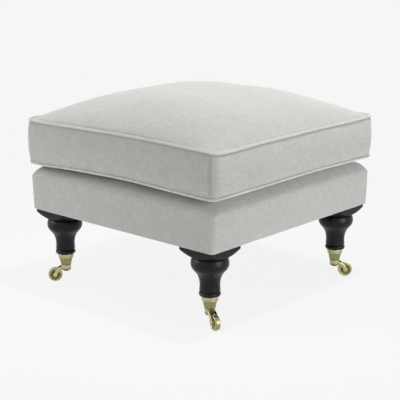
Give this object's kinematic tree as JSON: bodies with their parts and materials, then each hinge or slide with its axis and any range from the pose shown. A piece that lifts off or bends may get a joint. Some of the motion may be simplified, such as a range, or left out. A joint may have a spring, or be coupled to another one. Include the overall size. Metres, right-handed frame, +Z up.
{
  "type": "footstool",
  "caption": "Square upholstered footstool: a loose crowned box cushion with piping on a rolled-edge base, with turned legs on brass cup castors that swivel and roll.",
  "frame": {"origin": "on the floor, under the centre of the stool", "axes": "+Z up; the front faces -Y and the cushion's zip is on the +Y side; +X to the right seen from the front"},
  "size_m": [0.5982, 0.5977, 0.471],
  "materials": {
    "hardwood": "planed hardwood, unfinished",
    "steel": "zinc plated steel",
    "webbing": "woven webbing",
    "foam": "open cell foam",
    "wadding": "fibre wadding",
    "linen": "pale warm grey linen weave",
    "lining": "black lining cloth",
    "black_wood": "satin black lacquer on turned hardwood",
    "brass": "polished pale brass",
    "zip_tape": "woven zip tape",
    "zip_metal": "nickel plated zip parts"
  },
  "bodies": {
    "root": {"rail_front": "hardwood", "rail_back": "hardwood", "rail_left": "hardwood", "rail_right": "hardwood", "rail_dowels": "hardwood", "corner_block_front_left": "hardwood", "corner_block_front_right": "hardwood", "corner_block_back_right": "hardwood", "corner_block_back_left": "hardwood", "block_screws": "steel", "tee_nuts": "steel", "hanger_bolts": "steel", "webbing_staples": "steel", "dust_cover_staples": "steel", "webbing_lengthwise": "webbing", "webbing_crosswise": "webbing", "deck_foam": "foam", "base_wadding": "wadding", "base_cover": "linen", "deck_lining": "lining", "dust_cover": "lining", "leg_front_left": "black_wood", "leg_front_right": "black_wood", "leg_back_right": "black_wood", "leg_back_left": "black_wood", "castor_cup_front_left": "brass", "castor_cup_front_right": "brass", "castor_cup_back_right": "brass", "castor_cup_back_left": "brass", "cup_screws": "brass"},
    "cushion": {"cushion_top_panel": "linen", "cushion_boxing": "linen", "cushion_bottom_panel": "linen", "cushion_top_piping": "linen", "cushion_bottom_piping": "linen", "cushion_wrap": "wadding", "cushion_foam": "foam", "zip_tapes": "zip_tape", "zip_teeth": "zip_metal"},
    "zip_slider": {"zip_slider": "zip_metal"},
    "zip_pull": {"zip_pull": "zip_metal"},
    "horn_front_left": {"castor_horn_front_left": "brass", "swivel_pin_front_left": "brass", "axle_pin_front_left": "brass"},
    "wheel_front_left": {"castor_wheel_front_left": "brass"},
    "horn_front_right": {"castor_horn_front_right": "brass", "swivel_pin_front_right": "brass", "axle_pin_front_right": "brass"},
    "wheel_front_right": {"castor_wheel_front_right": "brass"},
    "horn_back_right": {"castor_horn_back_right": "brass", "swivel_pin_back_right": "brass", "axle_pin_back_right": "brass"},
    "wheel_back_right": {"castor_wheel_back_right": "brass"},
    "horn_back_left": {"castor_horn_back_left": "brass", "swivel_pin_back_left": "brass", "axle_pin_back_left": "brass"},
    "wheel_back_left": {"castor_wheel_back_left": "brass"}
  },
  "joints": [
    {"name": "cushion_lift", "type": "slide", "parent": "root", "child": "cushion", "axis": [0, 0, 1], "range_m": [0, 0.2]},
    {"name": "zip_slide", "type": "slide", "parent": "cushion", "child": "zip_slider", "axis": [-1, 0, 0], "range_m": [0, 0.46]},
    {"name": "zip_pull_swing", "type": "hinge", "parent": "zip_slider", "child": "zip_pull", "pos_m": [0.2315, 0.29715, 0.35385], "axis": [0, 0, -1], "range_deg": [0, 165]},
    {"name": "swivel_front_left", "type": "hinge", "parent": "root", "child": "horn_front_left", "pos_m": [-0.2344, -0.2344, 0.04], "axis": [0, 0, 1], "continuous": true},
    {"name": "roll_front_left", "type": "hinge", "parent": "horn_front_left", "child": "wheel_front_left", "pos_m": [-0.25321, -0.25321, 0.0173], "axis": [0.7071, -0.7071, 0], "continuous": true},
    {"name": "swivel_front_right", "type": "hinge", "parent": "root", "child": "horn_front_right", "pos_m": [0.2344, -0.2344, 0.04], "axis": [0, 0, 1], "continuous": true},
    {"name": "roll_front_right", "type": "hinge", "parent": "horn_front_right", "child": "wheel_front_right", "pos_m": [0.2587, -0.24522, 0.0173], "axis": [0.4067, 0.9135, 0], "continuous": true},
    {"name": "swivel_back_right", "type": "hinge", "parent": "root", "child": "horn_back_right", "pos_m": [0.2344, 0.2344, 0.04], "axis": [0, 0, 1], "continuous": true},
    {"name": "roll_back_right", "type": "hinge", "parent": "horn_back_right", "child": "wheel_back_right", "pos_m": [0.25321, 0.25321, 0.0173], "axis": [-0.7071, 0.7071, 0], "continuous": true},
    {"name": "swivel_back_left", "type": "hinge", "parent": "root", "child": "horn_back_left", "pos_m": [-0.2344, 0.2344, 0.04], "axis": [0, 0, 1], "continuous": true},
    {"name": "roll_back_left", "type": "hinge", "parent": "horn_back_left", "child": "wheel_back_left", "pos_m": [-0.25321, 0.25321, 0.0173], "axis": [-0.7071, -0.7071, 0], "continuous": true}
  ]
}
